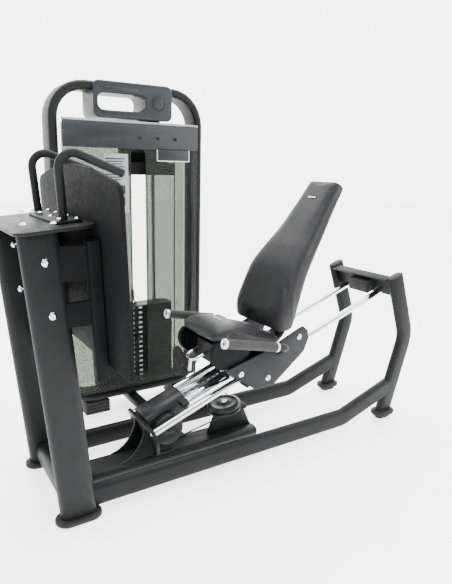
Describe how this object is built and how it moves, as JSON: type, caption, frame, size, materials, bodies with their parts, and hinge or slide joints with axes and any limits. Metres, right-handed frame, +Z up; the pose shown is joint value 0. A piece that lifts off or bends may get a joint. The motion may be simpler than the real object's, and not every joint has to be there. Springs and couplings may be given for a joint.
{
  "type": "leg press machine",
  "caption": "Seated leg press: a cushioned seat slides up two inclined chrome rails and lifts a shielded weight stack through a pulley cable.",
  "frame": {"origin": "centre of the bounding box in plan, at floor level", "axes": "+X to the rear of the machine (where the seat slides to), +Y towards the weight tower, +Z up"},
  "size_m": [1.7526, 1.042, 1.473],
  "materials": {
    "frame": "textured black powder coat",
    "side_plate": "satin dark grey powder coat",
    "cover": "satin slate",
    "chrome": "polished",
    "rubber": "matt black",
    "vinyl": "black grained upholstery vinyl",
    "shield": "smoked acrylic",
    "cast_plate": "black painted cast iron",
    "plastic": "satin black moulding",
    "cable": "black jacketed steel cable"
  },
  "bodies": {
    "root": {"front_leg_left": "frame", "front_leg_right": "frame", "front_cross_tube": "frame", "front_back_panel": "frame", "front_top_plate": "frame", "handle_base_plate": "frame", "foot_handle_left": "frame", "foot_handle_right": "frame", "foot_plate_post_left": "frame", "foot_plate_post_right": "frame", "base_rail_left": "frame", "base_rail_right": "frame", "rear_leg_left": "frame", "rear_leg_right": "frame", "spine": "frame", "tower_cross_tube": "frame", "rail_support": "frame", "rear_cross_channel": "frame", "turning_bracket": "frame", "tower_arch": "frame", "tower_base": "frame", "pulley_crossbar": "frame", "foot_plate": "frame", "top_cover": "cover", "guide_rail_left": "chrome", "guide_rail_right": "chrome", "guide_rod_left": "chrome", "guide_rod_right": "chrome", "front_foot_left": "rubber", "front_foot_right": "rubber", "rear_foot_left": "rubber", "rear_foot_right": "rubber", "bumper_block": "rubber", "tower_foot_front": "rubber", "tower_foot_rear": "rubber", "front_shield": "shield", "rear_shield": "shield", "resting_plates": "cast_plate", "cable_run": "cable"},
    "drive_carriage": {"drive_block": "plastic", "carriage_tube": "chrome", "adjusting_bar": "chrome", "cable_to_seat": "cable"},
    "seat_carriage": {"seat_frame": "frame", "side_plate_left": "side_plate", "side_plate_right": "side_plate", "seat_cushion": "vinyl", "backrest_cushion": "vinyl", "seat_handle_left": "frame", "seat_handle_right": "frame"},
    "adjust_lever": {"adjust_lever": "chrome"},
    "selected_stack": {"lifted_plates": "cast_plate", "stack_stem": "chrome", "cable_to_stack": "cable"},
    "selector_pin": {"selector_pin": "plastic"},
    "lower_pulley": {"lower_pulley": "plastic"},
    "turning_pulley": {"turning_pulley": "plastic"},
    "tower_base_pulley": {"tower_base_pulley": "plastic"},
    "top_pulley_1": {"top_pulley_1": "plastic"},
    "top_pulley_2": {"top_pulley_2": "plastic"}
  },
  "joints": [
    {"name": "carriage_slide", "type": "slide", "parent": "root", "child": "drive_carriage", "axis": [0.9397, 0, 0.342], "range_m": [0, 0.36], "deforming": ["cable_to_seat"]},
    {"name": "seat_adjust", "type": "slide", "parent": "drive_carriage", "child": "seat_carriage", "axis": [0.9397, 0, 0.342], "range_m": [0, 0.072]},
    {"name": "adjust_lever_lift", "type": "hinge", "parent": "seat_carriage", "child": "adjust_lever", "pos_m": [-0.1395, -0.111, 0.428], "axis": [0, 1, 0], "range_deg": [0, 15], "stiffness_Nm_per_rad": 5, "springref_deg": -20.05},
    {"name": "stack_lift", "type": "slide", "parent": "root", "child": "selected_stack", "axis": [0, 0, 1], "range_m": [0, 0.36], "deforming": ["cable_to_stack"]},
    {"name": "selector_pin_pull", "type": "slide", "parent": "selected_stack", "child": "selector_pin", "axis": [0, -1, 0], "range_m": [0, 0.05]},
    {"name": "lower_pulley_turn", "type": "hinge", "parent": "root", "child": "lower_pulley", "pos_m": [-0.3275, -0.173, 0.155], "axis": [0, 1, 0], "range_deg": [0, 387]},
    {"name": "turning_pulley_turn", "type": "hinge", "parent": "root", "child": "turning_pulley", "pos_m": [-0.0325, -0.111, 0.155], "axis": [-0.1831, 0, 0.9831], "range_deg": [-337.7, 0]},
    {"name": "tower_base_pulley_turn", "type": "hinge", "parent": "root", "child": "tower_base_pulley", "pos_m": [0.02846, 0.426, 0.20435], "axis": [1, 0, 0], "range_deg": [-547.8, 0]},
    {"name": "top_pulley_1_turn", "type": "hinge", "parent": "root", "child": "top_pulley_1", "pos_m": [-0.01654, 0.464, 1.24], "axis": [0, 1, 0], "range_deg": [0, 463.4]},
    {"name": "top_pulley_2_turn", "type": "hinge", "parent": "root", "child": "top_pulley_2", "pos_m": [-0.1495, 0.464, 1.24], "axis": [0, 1, 0], "range_deg": [0, 463.4]}
  ],
  "couplings": [
    {"joint": "stack_lift", "follows": "carriage_slide", "ratio": 1},
    {"joint": "lower_pulley_turn", "follows": "carriage_slide", "rad_per_m": 18.518},
    {"joint": "turning_pulley_turn", "follows": "carriage_slide", "rad_per_m": -16.129},
    {"joint": "tower_base_pulley_turn", "follows": "carriage_slide", "rad_per_m": -26.316},
    {"joint": "top_pulley_1_turn", "follows": "carriage_slide", "rad_per_m": 22.222},
    {"joint": "top_pulley_2_turn", "follows": "carriage_slide", "rad_per_m": 22.222}
  ]
}
